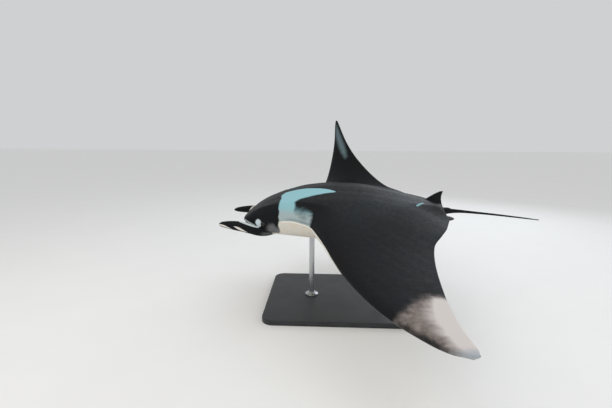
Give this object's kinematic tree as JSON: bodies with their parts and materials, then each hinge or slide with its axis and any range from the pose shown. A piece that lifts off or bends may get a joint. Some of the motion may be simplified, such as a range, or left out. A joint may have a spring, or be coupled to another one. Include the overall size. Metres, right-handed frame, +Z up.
{
  "type": "giant oceanic manta ray, still display model",
  "caption": "Life-size still manta ray gliding with one wing down and the other lifted, head fins furled, whip tail straight, on a flat base with short rods.",
  "frame": {"origin": "centre of the stand base's underside, on the floor", "axes": "+Z up, -Y the way the ray looks, +X the ray's left side, whose wing is pressed down"},
  "size_m": [3.9391, 3.4715, 2.1132],
  "materials": {
    "head": "wet skin, black above and white below",
    "trunk": "wet skin, black above with white shoulder patches, white below",
    "pectoral_fin_left": "wet skin, black above with a white tip, white below",
    "pectoral_fin_right": "wet skin, black above with a white tip, white below",
    "cephalic_fin_left": "wet skin, black with white edges",
    "cephalic_fin_right": "wet skin, black with white edges",
    "eye_left": "dark wet eye",
    "eye_right": "dark wet eye",
    "dorsal_fin": "wet skin, black",
    "pelvic_fin_left": "wet skin, black above",
    "pelvic_fin_right": "wet skin, black above",
    "tail_base": "rough skin, black",
    "tail_middle": "rough skin, black",
    "tail_tip": "rough skin, black",
    "stand_base": "satin charcoal powder coat",
    "stand_collar_front": "brushed",
    "stand_collar_rear": "brushed",
    "stand_rod_front": "brushed",
    "stand_rod_rear": "brushed"
  },
  "bodies": {
    "root": {"head": "head", "trunk": "trunk", "pectoral_fin_left": "pectoral_fin_left", "pectoral_fin_right": "pectoral_fin_right", "cephalic_fin_left": "cephalic_fin_left", "cephalic_fin_right": "cephalic_fin_right", "eye_left": "eye_left", "eye_right": "eye_right", "dorsal_fin": "dorsal_fin", "pelvic_fin_left": "pelvic_fin_left", "pelvic_fin_right": "pelvic_fin_right", "tail_base": "tail_base", "tail_middle": "tail_middle", "tail_tip": "tail_tip", "stand_base": "stand_base", "stand_collar_front": "stand_collar_front", "stand_collar_rear": "stand_collar_rear", "stand_rod_front": "stand_rod_front", "stand_rod_rear": "stand_rod_rear"}
  },
  "joints": []
}
